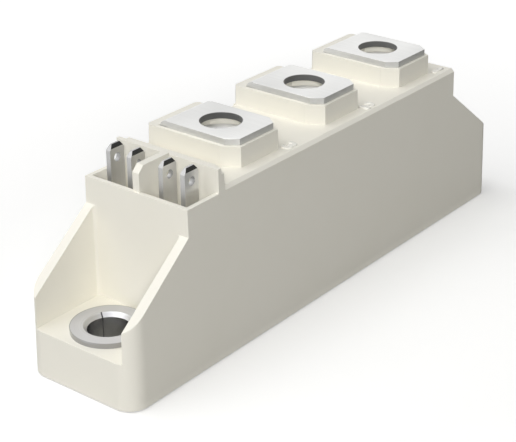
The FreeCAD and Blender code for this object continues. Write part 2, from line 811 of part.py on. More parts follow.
def make_gate_tab(document, label, row):
    """A flat plug tab with a bevelled tip, standing on the tray's floor by its shoulders."""
    body = new_body(document, label, (f"-{TAB_PLACE}", row, "0"))
    half = "(sizes.tab_width / 2)"
    shank = "(sizes.tab_shank_width / 2)"
    tip_side = "sizes.tab_height - sizes.tab_corner_height"
    outline = [
        (f"-{shank}", "sizes.tab_tail"),
        (shank, "sizes.tab_tail"),
        (shank, "sizes.tray_floor_height"),
        (half, "sizes.tray_floor_height"),
        (half, tip_side),
        (f"{half} - sizes.tab_corner", "sizes.tab_height"),
        (f"-{half} + sizes.tab_corner", "sizes.tab_height"),
        (f"-{half}", tip_side),
        (f"-{half}", "sizes.tray_floor_height"),
        (f"-{shank}", "sizes.tray_floor_height"),
    ]
    sketch = outline_sketch(body, f"{label}_face", "XZ_Plane", outline)
    pad(body, sketch, f"{label}_blade", "sizes.tab_thickness", midplane=True)
    bevel_tab_tip(body, label)
    sketch = circle_sketch(body, f"{label}_hole_plan", [("0", "sizes.tab_hole_height")],
                           "sizes.tab_hole", role="XZ_Plane")
    pocket(body, sketch, f"{label}_hole", midplane=True)
    return body


def bevel_tab_tip(body, label):
    """Bevel both broad faces of a tab towards its tip."""
    face = "(sizes.tab_thickness / 2)"
    foot = "sizes.tab_height - sizes.tab_bevel_height"
    outlines = []
    for side in ("", "-"):
        outlines.append([
            (f"{side}{face}", foot),
            (f"{side}2 * {face}", foot),
            (f"{side}2 * {face}", "sizes.tab_height"),
            (f"{side}({face} - sizes.tab_bevel)", "sizes.tab_height"),
        ])
    sketch = outline_sketch(body, f"{label}_tip_side", "YZ_Plane", *outlines)
    pocket(body, sketch, f"{label}_tip", midplane=True)


def make_gate_lead(document, label, row):
    """A round wire from a tab's tail down to its pad on the ceramic."""
    body = new_body(document, label, (f"-{TAB_PLACE}", row, TRACK_TOP))
    sketch = circle_sketch(body, f"{label}_section", [("0", "0")], "sizes.lead_diameter")
    pad(body, sketch, f"{label}_wire", f"sizes.tab_tail - {TRACK_TOP}")
    return body


def make_slab(document, label, corners, foot, thickness):
    """A flat piece of even thickness with a straight-edged outline."""
    body = new_body(document, label, ("0", "0", foot))
    sketch = outline_sketch(body, f"{label}_plan", "XY_Plane", corners)
    pad(body, sketch, f"{label}_slab", thickness)
    return body


def make_substrate(document):
    """The ceramic with its bonded copper: one sheet below, tracks and gate pads above."""
    copper = "sizes.copper_thickness"
    copper_outline = block(f"(2 * {TRACK_HALF_LENGTH})", f"(2 * {TRACK_HALF_WIDTH})")
    ceramic_outline = block("sizes.substrate_length", "sizes.substrate_width")
    parts = [
        make_slab(document, "back_copper", copper_outline, "sizes.base_plate_thickness", copper),
        make_slab(document, "ceramic_substrate", ceramic_outline, CERAMIC_FOOT,
                  "sizes.ceramic_thickness"),
    ]
    ends = [
        ("anode_track", "-sizes.gate_track_end", "-sizes.first_track_end"),
        ("middle_track", "-sizes.first_track_end + sizes.track_gap", "sizes.second_track_end"),
        ("cathode_track", "sizes.second_track_end + sizes.track_gap", TRACK_HALF_LENGTH),
    ]
    for label, left, right in ends:
        outline = rectangle(left, right, f"-{TRACK_HALF_WIDTH}", TRACK_HALF_WIDTH)
        parts.append(make_slab(document, label, outline, CERAMIC_TOP, copper))
    for number, row in enumerate(gate_rows()[:2], 1):
        half = "sizes.gate_pad_width / 2"
        outline = rectangle(f"-{TAB_PLACE} - {half}", f"-{TAB_PLACE} + {half}",
                            f"{row} - {half}", f"{row} - {half} + sizes.gate_pad_length")
        parts.append(make_slab(document, f"gate_pad_{number}", outline, CERAMIC_TOP, copper))
    return parts


def chip_places():
    """Each chip with its place along the module, its side and its thickness."""
    return [
        ("thyristor", "-sizes.thyristor_place", "sizes.thyristor_side",
         "sizes.thyristor_thickness"),
        ("diode", "sizes.diode_place", "sizes.diode_side", "sizes.diode_thickness"),
    ]


def make_chips(document):
    """Each chip, soldered to its track, with a molybdenum disc soldered on top."""
    parts = []
    for name, place, side, thickness in chip_places():
        body = new_body(document, f"{name}_chip", (place, "-sizes.chip_offset", TRACK_TOP))
        sketch = outline_sketch(body, f"{name}_chip_plan", "XY_Plane", block(side, side))
        pad(body, sketch, f"{name}_chip_slab", thickness)
        parts.append(body)
        top = f"{TRACK_TOP} + {thickness}"
        disc = new_body(document, f"{name}_contact_disc", (place, "-sizes.chip_offset", top))
        sketch = circle_sketch(disc, f"{name}_disc_plan", [("0", "0")],
                               f"{side} - 2 * sizes.disc_margin")
        pad(disc, sketch, f"{name}_disc", "sizes.disc_thickness")
        parts.append(disc)
    return parts


def make_links(document):
    """The copper clips that join the top of each chip to the middle track."""
    chips = {name: (place, side, thickness) for name, place, side, thickness in chip_places()}
    landings = {
        "thyristor": ("", "-sizes.first_track_end + sizes.track_gap"),
        "diode": ("-", "sizes.second_track_end"),
    }
    parts = []
    for name, (forward, landing) in landings.items():
        place, side, thickness = chips[name]
        body = new_body(document, f"{name}_link", ("0", "-sizes.chip_offset", TRACK_TOP))
        outline = link_outline(place, side, thickness, forward or "+", landing)
        sketch = outline_sketch(body, f"{name}_link_side", "XZ_Plane", outline)
        pad(body, sketch, f"{name}_link_strip", "sizes.link_width", midplane=True)
        parts.append(body)
    return parts


def link_outline(place, side, thickness, forward, landing):
    """The side view of a clip: flat on the disc, arched over the gap, flat on the track."""
    reach = f"({side} / 2 - sizes.disc_margin)"
    back = "-" if forward == "+" else "+"
    seat = f"({thickness} + sizes.disc_thickness)"
    arch = f"({seat} + sizes.link_arch)"
    near_chip = f"{place} {forward} {reach}"
    sheet = "sizes.link_thickness"
    foot_start = f"{landing} {forward} sizes.copper_margin"
    foot_end = f"{foot_start} {forward} sizes.link_foot"
    lower = [
        (f"{place} {back} {reach}", seat),
        (near_chip, seat),
        (f"{near_chip} {forward} sizes.link_slope", arch),
        (f"{foot_start} {back} sizes.link_slope", arch),
        (foot_start, "0"),
        (foot_end, "0"),
    ]
    upper = [
        (foot_end, sheet),
        (f"{foot_start} {forward} {sheet}", sheet),
        (f"{foot_start} {back} sizes.link_slope {forward} {sheet}", f"{arch} + {sheet}"),
        (f"{near_chip} {forward} sizes.link_slope {back} {sheet}", f"{arch} + {sheet}"),
        (f"{near_chip} {back} {sheet}", f"{seat} + {sheet}"),
        (f"{place} {back} {reach}", f"{seat} + {sheet}"),
    ]
    return lower + upper


def make_bond_wire(document, label, row):
    """A flat aluminium wire arched from a gate pad to the top of the thyristor chip."""
    start = f"(-{TAB_PLACE} + sizes.gate_pad_width / 2 - sizes.bond_edge)"
    across = f"{row} - sizes.gate_pad_width / 2 + sizes.gate_pad_length - sizes.bond_edge"
    place = (f"{start} + sizes.bond_span / 2", across, f"{TRACK_TOP} + sizes.thyristor_thickness")
    body = new_body(document, label, place)
    outer = "(-sizes.bond_span / 2 - sizes.bond_wire_thickness / 2)"
    section = rectangle(outer, f"{outer} + sizes.bond_wire_thickness",
                        "-sizes.bond_wire / 2", "sizes.bond_wire / 2")
    sketch = outline_sketch(body, f"{label}_section", "XY_Plane", section)
    revolve(body, sketch, f"{label}_arch", HALF_TURN)
    sketch = outline_sketch(body, f"{label}_foot_plan", "XY_Plane", section,
                            offset="-sizes.thyristor_thickness")
    pad(body, sketch, f"{label}_foot", "sizes.thyristor_thickness")
    return body


def check_document(document, parts):
    """Every object is computed, and every sub-part is a valid solid."""
    for item in document.Objects:
        if "Invalid" in item.State or "Error" in item.State:
            raise ValueError(f"{item.Name} is {item.State}")
    for part in parts:
        if part.Shape.isNull() or not part.Shape.isValid() or not part.Shape.Solids:
            raise ValueError(f"{part.Label} is not a valid solid")


def build():
    """Make the document and every sub-part, and write each to a file of its own."""
    document = FreeCAD.newDocument("module")
    fill_sheet(document)
    parts = [make_housing(document), make_base_plate(document)]
    parts.append(make_bush(document, "mounting_bush_gate_end", "-"))
    parts.append(make_bush(document, "mounting_bush_far_end", ""))
    for number, place in enumerate(terminal_places(), 1):
        parts.append(make_terminal(document, f"terminal_{number}", place))
        parts.append(make_nut(document, f"terminal_nut_{number}", place))
    for number, row in enumerate(gate_rows(), 1):
        parts.append(make_gate_tab(document, f"gate_tab_{number}", row))
    for number, row in enumerate(gate_rows()[:2], 1):
        parts.append(make_gate_lead(document, f"gate_lead_{number}", row))
        parts.append(make_bond_wire(document, f"bond_wire_{number}", row))
    parts += make_substrate(document)
    parts += make_chips(document)
    parts += make_links(document)
    document.recompute()
    check_document(document, parts)
    os.makedirs("parts", exist_ok=True)
    for part in parts:
        part.Shape.exportStep(f"parts/{part.Label}.step")
        box = part.Shape.BoundBox
        print(f"{part.Label:26s} {part.Shape.Volume:9.2f} mm3, "
              f"x {box.XMin:7.2f} {box.XMax:7.2f}  y {box.YMin:7.2f} {box.YMax:7.2f}  "
              f"z {box.ZMin:6.2f} {box.ZMax:6.2f}")


build()
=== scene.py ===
import math

import bmesh
import bpy
from bpy.props import FloatProperty, FloatVectorProperty, PointerProperty
from mathutils import Matrix, Vector


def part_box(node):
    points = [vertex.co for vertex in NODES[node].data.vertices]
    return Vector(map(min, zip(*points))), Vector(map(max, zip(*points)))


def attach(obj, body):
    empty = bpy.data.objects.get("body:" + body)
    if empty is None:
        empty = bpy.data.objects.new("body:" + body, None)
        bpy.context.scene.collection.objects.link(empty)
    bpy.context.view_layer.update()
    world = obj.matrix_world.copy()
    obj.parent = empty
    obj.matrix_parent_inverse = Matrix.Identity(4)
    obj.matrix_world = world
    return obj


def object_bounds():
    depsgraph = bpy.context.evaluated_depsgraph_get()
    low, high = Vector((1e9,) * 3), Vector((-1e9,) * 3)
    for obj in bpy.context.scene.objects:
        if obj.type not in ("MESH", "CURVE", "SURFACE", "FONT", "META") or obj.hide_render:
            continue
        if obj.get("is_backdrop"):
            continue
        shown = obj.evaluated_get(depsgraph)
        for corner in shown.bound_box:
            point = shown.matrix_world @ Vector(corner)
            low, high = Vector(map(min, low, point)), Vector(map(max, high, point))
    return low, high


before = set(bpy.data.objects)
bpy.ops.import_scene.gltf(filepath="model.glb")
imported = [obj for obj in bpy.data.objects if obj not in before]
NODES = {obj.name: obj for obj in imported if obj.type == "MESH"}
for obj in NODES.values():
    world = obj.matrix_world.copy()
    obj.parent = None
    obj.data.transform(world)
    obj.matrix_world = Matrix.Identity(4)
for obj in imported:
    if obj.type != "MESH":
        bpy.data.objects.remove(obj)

bl_info = {
    "name": "Thyristor diode module",
    "version": (1, 0, 0),
    "blender": (4, 5, 0),
    "location": "3D View > Sidebar > Module",
    "description": "Finishes, small parts and a plain studio for a power semiconductor module",
    "category": "Object",
}

BODY = "root"
MM = 0.001

# How far under the module the grey sheet lies. The floor lies twice as deep.
HAIR = 0.02 * MM

# The photograph's width and focal length in pixels, and where its camera stood.
PHOTO_WIDTH = 516
PHOTO_FOCUS = 1492.17
SENSOR_WIDTH = 36
CAMERA_PLACE = (-0.168055, -0.128847, 0.110489)
CAMERA_RIGHT = (0.62088, -0.78387, -0.00795)
CAMERA_UP = (0.34414, 0.26344, 0.90120)

# Where each lamp hangs and how wide it is, in metres.
TOP_LAMP_PLACE = (-0.28, 0.2, 0.8)
TOP_LAMP_WIDTH = 0.9
END_LAMP_PLACE = (-0.85, 0.12, 0.35)
END_LAMP_WIDTH = 0.45
FRONT_LAMP_PLACE = (-0.625, -0.5, 0.385)
FRONT_LAMP_WIDTH = 0.2

# Facets that turn less than this are one face, edges under the next are part of a curve,
# and edges over the last are sharp enough to be rounded off.
SAME_FACE = math.radians(0.5)
GENTLE_EDGE = math.radians(20)
SHARP_EDGE = math.radians(40)
WELD_GAP = 0.001 * MM

# The share of its font's size that a digit is tall, the steps in one turn of thread, and
# the share of the pitch that half the thread's foot takes up.
DIGIT_SHARE = 0.7
TURN_STEPS = 40
RIDGE_SHARE = 0.3


def linear(hex_colour):
    """The linear colour of an sRGB hex value."""
    channels = [int(hex_colour[place:place + 2], 16) / 255 for place in (0, 2, 4)]
    return [c / 12.92 if c <= 0.04045 else ((c + 0.055) / 1.055) ** 2.4 for c in channels]


def per_mm(size):
    """The texture scale at which one feature of a pattern is so many millimetres across."""
    return 1 / (size * MM)


def node_box(name):
    """The lowest corner, the highest corner and the middle of a CAD node."""
    low, high = (Vector(corner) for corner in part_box(name))
    return low, high, (low + high) / 2


class ModuleFinishes(bpy.types.PropertyGroup):
    """The colours of the module's materials."""

    plastic: FloatVectorProperty(
        name="Case", description="Ivory of the moulded case", subtype="COLOR",
        size=3, min=0, max=1, default=linear("F5F2E8"))
    plastic_flow: FloatVectorProperty(
        name="Case flow marks", description="Deeper ivory where the melt flowed together",
        subtype="COLOR", size=3, min=0, max=1, default=linear("F1EEE2"))
    # The numbers' paler ivory is a painted highlight.
    number: FloatVectorProperty(
        name="Numbers", description="Clearer ivory of the raised numbers", subtype="COLOR",
        size=3, min=0, max=1, default=linear("FCFBF4"))
    plate: FloatVectorProperty(
        name="Contact plates", description="Nickel on the copper straps", subtype="COLOR",
        size=3, min=0, max=1, default=linear("F1F1EF"))
    tab: FloatVectorProperty(
        name="Gate tabs", description="Tin on the brass plug tabs", subtype="COLOR",
        size=3, min=0, max=1, default=linear("F4F4F4"))
    steel: FloatVectorProperty(
        name="Nuts", description="Zinc on the steel nuts", subtype="COLOR",
        size=3, min=0, max=1, default=linear("FAFAF8"))
    bush: FloatVectorProperty(
        name="Bushes", description="Nickel on the rolled bushes", subtype="COLOR",
        size=3, min=0, max=1, default=linear("E4E4E6"))
    base: FloatVectorProperty(
        name="Base plate", description="Nickel on the copper base plate", subtype="COLOR",
        size=3, min=0, max=1, default=linear("CFCDC7"))
    copper: FloatVectorProperty(
        name="Bare copper", description="Copper bonded to the ceramic", subtype="COLOR",
        size=3, min=0, max=1, default=linear("D08A63"))
    ceramic: FloatVectorProperty(
        name="Ceramic", description="White alumina of the substrate", subtype="COLOR",
        size=3, min=0, max=1, default=linear("ECEBE6"))
    silicon: FloatVectorProperty(
        name="Silicon", description="Dark grey of the two chips", subtype="COLOR",
        size=3, min=0, max=1, default=linear("5A5C63"))
    molybdenum: FloatVectorProperty(
        name="Contact discs", description="Grey of the ground molybdenum discs",
        subtype="COLOR", size=3, min=0, max=1, default=linear("A3A19C"))
    aluminium: FloatVectorProperty(
        name="Bond wires", description="Aluminium of the flat bond wires", subtype="COLOR",
        size=3, min=0, max=1, default=linear("DADBDC"))


class ModuleSizes(bpy.types.PropertyGroup):
    """The sizes of what is too fine for the solids."""

    case_edge: FloatProperty(
        name="Case edges", description="Radius that the mould leaves on the case's edges",
        subtype="DISTANCE", unit="LENGTH", min=0, default=0.18 * MM)
    sheet_edge: FloatProperty(
        name="Sheet edges", description="Radius that tumbling leaves on punched metal",
        subtype="DISTANCE", unit="LENGTH", min=0, default=0.05 * MM)
    digit_height: FloatProperty(
        name="Digit height", description="Height of the raised terminal numbers",
        subtype="DISTANCE", unit="LENGTH", min=0, default=2.3 * MM)
    digit_rise: FloatProperty(
        name="Digit rise", description="How far the terminal numbers stand off the deck",
        subtype="DISTANCE", unit="LENGTH", min=0, default=0.2 * MM)
    digit_edge: FloatProperty(
        name="Digit edges", description="Radius round the terminal numbers' edges",
        subtype="DISTANCE", unit="LENGTH", min=0, default=0.17 * MM)
    digit_swell: FloatProperty(
        name="Digit swell", description="How much the numbers' strokes are thickened",
        subtype="DISTANCE", unit="LENGTH", default=0.06 * MM)
    digit_offset: FloatProperty(
        name="Digit offset", description="From a terminal's middle along to its number",
        subtype="DISTANCE", unit="LENGTH", default=6.0 * MM)
    digit_place: FloatProperty(
        name="Digit place", description="From the module's middle across to the numbers",
        subtype="DISTANCE", unit="LENGTH", default=-7.75 * MM)
    deck_height: FloatProperty(
        name="Deck height", description="Level of the deck that carries the numbers",
        subtype="DISTANCE", unit="LENGTH", min=0, default=26.4 * MM)
    plate_hole: FloatProperty(
        name="Plate hole", description="Diameter of the screw holes punched in the plates",
        subtype="DISTANCE", unit="LENGTH", min=0, default=6.32 * MM)
    thread_pitch: FloatProperty(
        name="Thread pitch", description="Pitch of the thread in the nuts",
        subtype="DISTANCE", unit="LENGTH", min=0.1 * MM, default=0.8 * MM)
    thread_bore: FloatProperty(
        name="Thread bore", description="Diameter of the nuts' bore, where the ridge stands",
        subtype="DISTANCE", unit="LENGTH", min=0, default=4.3 * MM)
    thread_depth: FloatProperty(
        name="Thread depth", description="How far the thread's ridge stands into the bore",
        subtype="DISTANCE", unit="LENGTH", min=0, default=0.12 * MM)


class ModuleStudio(bpy.types.PropertyGroup):
    """The plain studio round the module."""

    floor_colour: FloatVectorProperty(
        name="Floor", description="Pale colour of the floor", subtype="COLOR",
        size=3, min=0, max=1, default=linear("F7F7F6"))
    floor_bounce: FloatVectorProperty(
        name="Floor bounce", description="What the floor throws back at the module",
        subtype="COLOR", size=3, min=0, max=1, default=linear("B9B8B5"))
    floor_lift: FloatProperty(
        name="Floor lift", description="Light of the floor itself, seen by the eye alone",
        min=0, default=0.24)
    far_lift: FloatProperty(
        name="Far floor lift", description="The same further away from the module",
        min=0, default=0.42)
    lift_start: FloatProperty(
        name="Lift start", description="How far off the floor's own light starts to grow",
        subtype="DISTANCE", unit="LENGTH", min=0, default=0.05)
    lift_end: FloatProperty(
        name="Lift end", description="How far off the floor has its further light",
        subtype="DISTANCE", unit="LENGTH", min=0, default=0.13)
    horizon_lift: FloatProperty(
        name="Horizon lift", description="The same where no lamp reaches the floor",
        min=0, default=1.0)
    horizon_start: FloatProperty(
        name="Horizon start", description="How far off the floor is as white as the sky",
        subtype="DISTANCE", unit="LENGTH", min=0, default=0.9)
    sky_strength: FloatProperty(
        name="Sky", description="Even light from all round", min=0, default=0.07)
    top_lamp_strength: FloatProperty(
        name="Top lamp", description="Light of the large lamp above the gate end",
        subtype="POWER", unit="POWER", min=0, default=5.4)
    front_lamp_strength: FloatProperty(
        name="Front lamp", description="Light of the lamp beside the camera",
        subtype="POWER", unit="POWER", min=0, default=3.65)
    end_lamp_strength: FloatProperty(
        name="End lamp", description="Light of the lamp in front of the gate end",
        subtype="POWER", unit="POWER", min=0, default=0.3)
    standing_card_colour: FloatVectorProperty(
        name="Standing card", description="The pale card that polished bevels reflect",
        subtype="COLOR", size=3, min=0, max=1, default=linear("F2F2F0"))
    lying_card_colour: FloatVectorProperty(
        name="Lying card", description="The grey card that the plates' edges reflect",
        subtype="COLOR", size=3, min=0, max=1, default=linear("A2A29E"))
    # The sheet under the module is grey as painted shade.
    under_colour: FloatVectorProperty(
        name="Under the module", description="The grey sheet that shows through the bores",
        subtype="COLOR", size=3, min=0, max=1, default=linear("D0D0CC"))
    card_reach: FloatProperty(
        name="Card reach", description="How far the standing card is from the module",
        subtype="DISTANCE", unit="LENGTH", min=0.05, default=0.42)
    card_height: FloatProperty(
        name="Card height", description="Height of the standing card",
        subtype="DISTANCE", unit="LENGTH", min=0, default=0.6)
    floor_size: FloatProperty(
        name="Floor size", description="Width of the floor", subtype="DISTANCE",
        unit="LENGTH", min=0.1, default=6.0)


def add_node(tree, kind, settings=None, sockets=None):
    """Adds a node, sets its own settings, and fills its sockets or links them."""
    node = tree.nodes.new(kind)
    for name, value in (settings or {}).items():
        setattr(node, name, value)
    for name, value in (sockets or {}).items():
        if isinstance(value, bpy.types.NodeSocket):
            tree.links.new(value, node.inputs[name])
        else:
            node.inputs[name].default_value = value
    return node


def new_finish(name, **constants):
    """A material with a shader whose constants are set on the shader's own sockets."""
    material = bpy.data.materials.new(name)
    material.use_nodes = True
    tree = material.node_tree
    shader = tree.nodes["Principled BSDF"]
    for socket, value in constants.items():
        shader.inputs[socket.replace("_", " ")].default_value = value
    return material, tree, shader


def colour4(colour):
    """A colour with full opacity, as a socket takes it."""
    return (*colour, 1.0)


def duller(colour, share):
    """A colour at a share of its brightness."""
    return [channel * share for channel in colour]


def mottle(tree, place, size, detail=2.0, distortion=0.0):
    """Soft cloudy variation from 0 to 1 with patches of one size."""
    noise = add_node(tree, "ShaderNodeTexNoise", sockets={
        "Vector": place, "Scale": per_mm(size), "Detail": detail, "Distortion": distortion})
    return noise.outputs["Fac"]


def between(tree, amount, low, high):
    """A value that runs from low to high as the amount runs from 0 to 1."""
    span = add_node(tree, "ShaderNodeMapRange", sockets={
        "Value": amount, "To Min": low, "To Max": high})
    return span.outputs["Result"]


def tint(tree, amount, first, second):
    """A colour between two others."""
    mix = add_node(tree, "ShaderNodeMix", settings={"data_type": "RGBA"})
    tree.links.new(amount, mix.inputs["Factor"])
    mix.inputs[6].default_value = colour4(first)
    mix.inputs[7].default_value = colour4(second)
    return mix.outputs[2]


def stretched(tree, place, direction, times):
    """Coordinates pulled out along one direction, so that a pattern turns into streaks."""
    scale = [1 / times if axis == direction else 1 for axis in "XYZ"]
    scaled = add_node(tree, "ShaderNodeMapping", sockets={"Vector": place, "Scale": scale})
    return scaled.outputs["Vector"]


def object_place(tree):
    """Places on the object, in metres, the same in every view."""
    return add_node(tree, "ShaderNodeTexCoord").outputs["Object"]


def roughen(tree, shader, height, distance, strength=1.0):
    """Lets a height pattern disturb the light on the surface."""
    bump = add_node(tree, "ShaderNodeBump", sockets={
        "Height": height, "Distance": distance, "Strength": strength})
    tree.links.new(bump.outputs["Normal"], shader.inputs["Normal"])


def moulded_pbt(name, colour, flow_colour, roughness):
    """Polybutylene terephthalate, injection moulded in a spark-eroded mould."""
    # Glass filled and matt: broad soft highlights, an ivory that is hardly mottled, and a
    # grain of about 0.05 mm, drawn at 0.3 mm because the real one is too fine to show. The
    # melt's flow marks are about 14 mm across, and its clearer patches about 5 mm. Numbers
    # are engraved in the mould with a smooth cutter, so they come out glossier; their paler
    # ivory is a painted highlight.
    material, tree, shader = new_finish(name, IOR=1.55)
    place = object_place(tree)
    flow = mottle(tree, place, 14, detail=3, distortion=0.6)
    tree.links.new(tint(tree, flow, colour, flow_colour), shader.inputs["Base Color"])
    cloud = between(tree, mottle(tree, place, 5), roughness - 0.05, roughness + 0.05)
    tree.links.new(cloud, shader.inputs["Roughness"])
    roughen(tree, shader, mottle(tree, place, 0.3, detail=3), 0.012 * MM)
    return material


def facing(tree, axis, low, high, start=0.2, end=0.95):
    """A value that runs from low on faces along an axis to high on those square to it."""
    parts = add_node(tree, "ShaderNodeSeparateXYZ", sockets={
        "Vector": add_node(tree, "ShaderNodeNewGeometry").outputs["Normal"]})
    turned = add_node(tree, "ShaderNodeMath", {"operation": "ABSOLUTE"})
    tree.links.new(parts.outputs[axis], turned.inputs[0])
    span = add_node(tree, "ShaderNodeMapRange", sockets={
        "Value": turned.outputs["Value"], "From Min": start, "From Max": end,
        "To Min": low, "To Max": high})
    return span.outputs["Result"]


def axis_distance(tree, first, pitch):
    """The distance from the nearest of a row of upright axes along the module."""
    moved = add_node(tree, "ShaderNodeVectorMath", {"operation": "SUBTRACT"})
    tree.links.new(object_place(tree), moved.inputs[0])
    moved.inputs[1].default_value = (first, 0, 0)
    # Places repeat along the module alone. The other two spans are too wide to matter.
    beyond = 1000 * pitch
    nearest = add_node(tree, "ShaderNodeVectorMath", {"operation": "WRAP"})
    tree.links.new(moved.outputs["Vector"], nearest.inputs[0])
    nearest.inputs[1].default_value = (pitch / 2, beyond, beyond)
    nearest.inputs[2].default_value = (-pitch / 2, -beyond, -beyond)
    flat = add_node(tree, "ShaderNodeVectorMath", {"operation": "MULTIPLY"})
    tree.links.new(nearest.outputs["Vector"], flat.inputs[0])
    flat.inputs[1].default_value = (1, 1, 0)
    distance = add_node(tree, "ShaderNodeVectorMath", {"operation": "LENGTH"})
    tree.links.new(flat.outputs["Vector"], distance.inputs[0])
    return distance.outputs["Value"]


def scaled_by(tree, colour, share):
    """A colour times a share that may change from place to place."""
    scaled = add_node(tree, "ShaderNodeVectorMath", {"operation": "SCALE"})
    tree.links.new(colour, scaled.inputs[0])
    tree.links.new(share, scaled.inputs["Scale"])
    return scaled.outputs["Vector"]


def larger_of(tree, first, second):
    """The larger of two values, from place to place."""
    larger = add_node(tree, "ShaderNodeMath", {"operation": "MAXIMUM"})
    tree.links.new(first, larger.inputs[0])
    tree.links.new(second, larger.inputs[1])
    return larger.outputs["Value"]


def punched_wall(tree, first, pitch, radius, share):
    """A share inside the holes of a row, and 1 outside them: painted shade on the holes' walls.
    """
    inside = add_node(tree, "ShaderNodeMapRange", sockets={
        "Value": axis_distance(tree, first, pitch), "From Min": radius,
        "From Max": radius * 1.02, "To Min": share, "To Max": 1.0})
    return inside.outputs["Result"]


def coined_tip(tree, axis, share):
    """A share on the slopes that lead from a sheet's broad faces to its tip, and 1 elsewhere: a
    painted dark reflection.
    """
    slope = facing(tree, "Z", 1.0, share, start=0.08, end=0.16)
    return larger_of(tree, slope, facing(tree, axis, 1.0, 0.0))


def rolled_metal(name, colour, roughness, streak, spread, direction="Y", axis="Z",
                 cut_side_and_dark_reflection=1.0, punched=None, metallic=1.0, dark_tip_reflection=1.0):
    """Rolled sheet under a thin plating: fine streaks in one direction, a satin shine."""
    # The streaks are so many millimetres wide and thirty times as long, and the plating is
    # cloudy, in patches of about 12 mm. The sheet's broad faces are square to the axis. Its
    # shear-cut sides are rough, and their colour is painted darker, down to a share, as a
    # painted dark reflection. A punched hole's wall is painted darker still, as painted shade.
    # The slopes of a tip stamped to a wedge are painted dark, as a painted dark reflection.
    material, tree, shader = new_finish(name, Metallic=metallic)
    place = object_place(tree)
    streaks = mottle(tree, stretched(tree, place, direction, 30), streak, detail=4)
    cloud = between(tree, mottle(tree, place, 12, detail=1), 0.7, 1.12)
    plated = scaled_by(tree, tint(tree, streaks, colour, duller(colour, 0.9)), cloud)
    gloss = between(tree, streaks, roughness - spread, roughness + spread)
    if cut_side_and_dark_reflection < 1:
        # Painted dark reflection: the sheet's sides are darker, down to a share of the colour.
        plated = scaled_by(tree, plated, facing(tree, axis, cut_side_and_dark_reflection, 1.0))
        gloss = larger_of(tree, gloss, facing(tree, axis, 0.6, 0.0))
    if punched:
        # Painted shade: the walls of the punched holes are darker.
        plated = scaled_by(tree, plated, punched_wall(tree, *punched))
    if dark_tip_reflection < 1:
        # Painted dark reflection: the slopes of the tip are dark.
        plated = scaled_by(tree, plated, coined_tip(tree, axis, dark_tip_reflection))
    tree.links.new(plated, shader.inputs["Base Color"])
    tree.links.new(gloss, shader.inputs["Roughness"])
    roughen(tree, shader, streaks, 0.004 * MM)
    return material


def faced_nickel(finishes):
    """Nickel over rolled steel strip, faced on a lathe: fine rings and a satin top."""
    # The tool leaves grooves about 0.1 mm apart, drawn at 0.25 mm so that they show. They
    # scatter the light on the faced top, while the mouth and the bore keep a clearer shine.
    # The flange's outer wall is left as it came off the shear, and its colour is painted
    # darker there, as a painted dark reflection.
    material, tree, shader = new_finish("faced_nickel", Metallic=1.0)
    low, high, middle = node_box("mounting_bush_far_end")
    distance = axis_distance(tree, middle.x, 2 * middle.x)
    rings = add_node(tree, "ShaderNodeTexNoise", {"noise_dimensions": "1D"}, {
        "W": distance, "Scale": per_mm(0.25), "Detail": 2.0})
    grooves = rings.outputs["Fac"]
    metal = tint(tree, grooves, finishes.bush, duller(finishes.bush, 0.86))
    metal = scaled_by(tree, metal, facing(tree, "Z", 1.0, 0.82))
    radius = (high.x - low.x) / 2
    # Painted dark reflection on the flange's outer wall.
    rim_reflection = add_node(tree, "ShaderNodeMapRange", sockets={
        "Value": distance, "From Min": radius * 0.98, "From Max": radius * 0.99,
        "To Min": 1.0, "To Max": 0.55})
    tree.links.new(scaled_by(tree, metal, rim_reflection.outputs["Result"]), shader.inputs["Base Color"])
    tree.links.new(facing(tree, "Z", 0.2, 0.6), shader.inputs["Roughness"])
    roughen(tree, shader, grooves, 0.006 * MM)
    return material


def zinc_steel(finishes):
    """Cold-formed steel under a thick matt zinc, with painted shade on its thread."""
    # The zinc is pale and slightly cloudy, and scatters nearly all its light. Everything that
    # isn't level, the thread too, is painted much darker, as painted shade in the bore.
    material, tree, shader = new_finish("zinc_plated_steel", Metallic=0.05)
    place = object_place(tree)
    cloud = mottle(tree, place, 1.2, detail=3)
    zinc = tint(tree, cloud, finishes.steel, duller(finishes.steel, 0.9))
    # Painted shade: all that isn't level is much darker.
    tree.links.new(scaled_by(tree, zinc, facing(tree, "Z", 0.3, 1.0)),
                   shader.inputs["Base Color"])
    tree.links.new(between(tree, cloud, 0.45, 0.6), shader.inputs["Roughness"])
    roughen(tree, shader, mottle(tree, place, 0.25), 0.004 * MM)
    return material


def fired_alumina(finishes):
    """Sintered alumina: white, dense and faintly grained."""
    material, tree, shader = new_finish("fired_alumina", IOR=1.77)
    place = object_place(tree)
    grain = mottle(tree, place, 0.4, detail=3)
    white = tint(tree, grain, finishes.ceramic, duller(finishes.ceramic, 0.96))
    tree.links.new(white, shader.inputs["Base Color"])
    tree.links.new(between(tree, grain, 0.35, 0.5), shader.inputs["Roughness"])
    return material


def polished_silicon(finishes):
    """Silicon under a thin passivation: dark and close to a mirror."""
    material, tree, shader = new_finish("polished_silicon", Metallic=0.7)
    cloud = mottle(tree, object_place(tree), 3)
    dark = tint(tree, cloud, finishes.silicon, duller(finishes.silicon, 0.85))
    tree.links.new(dark, shader.inputs["Base Color"])
    tree.links.new(between(tree, cloud, 0.12, 0.2), shader.inputs["Roughness"])
    return material


